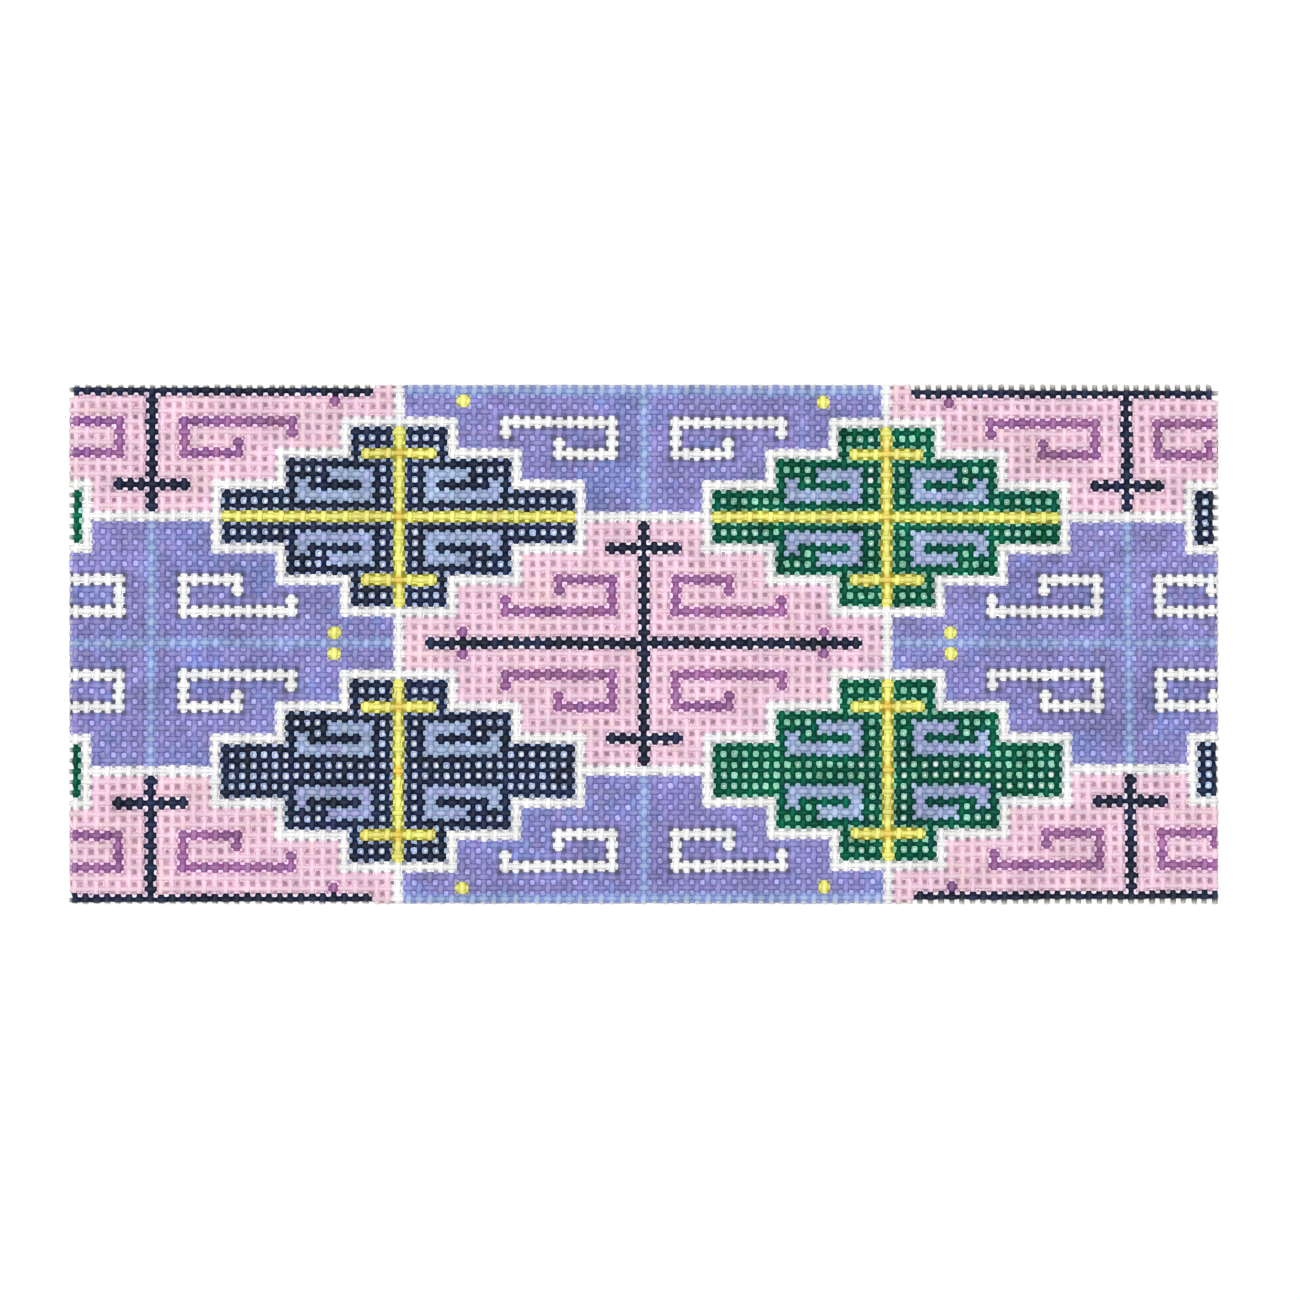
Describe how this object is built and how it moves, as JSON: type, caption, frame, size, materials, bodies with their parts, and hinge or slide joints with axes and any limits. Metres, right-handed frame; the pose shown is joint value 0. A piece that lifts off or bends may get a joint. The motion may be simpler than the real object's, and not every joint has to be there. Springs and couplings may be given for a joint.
{
  "type": "needlepoint canvas panel",
  "caption": "Flat rectangular panel of painted open-mesh cotton canvas for needlepoint, in a geometric repeat of stepped medallions, crosses and hooked frets.",
  "frame": {"origin": "middle of the underside, on the surface that the panel lies on", "axes": "+X along the long side, +Y up the painted face, +Z out of the painted face"},
  "size_m": [0.1524, 0.0688, 0.001],
  "materials": {
    "painted_canvas": "matte painted cotton mesh, in pink, lilac, navy, green, yellow and white"
  },
  "bodies": {
    "root": {"painted_canvas": "painted_canvas"}
  },
  "joints": []
}
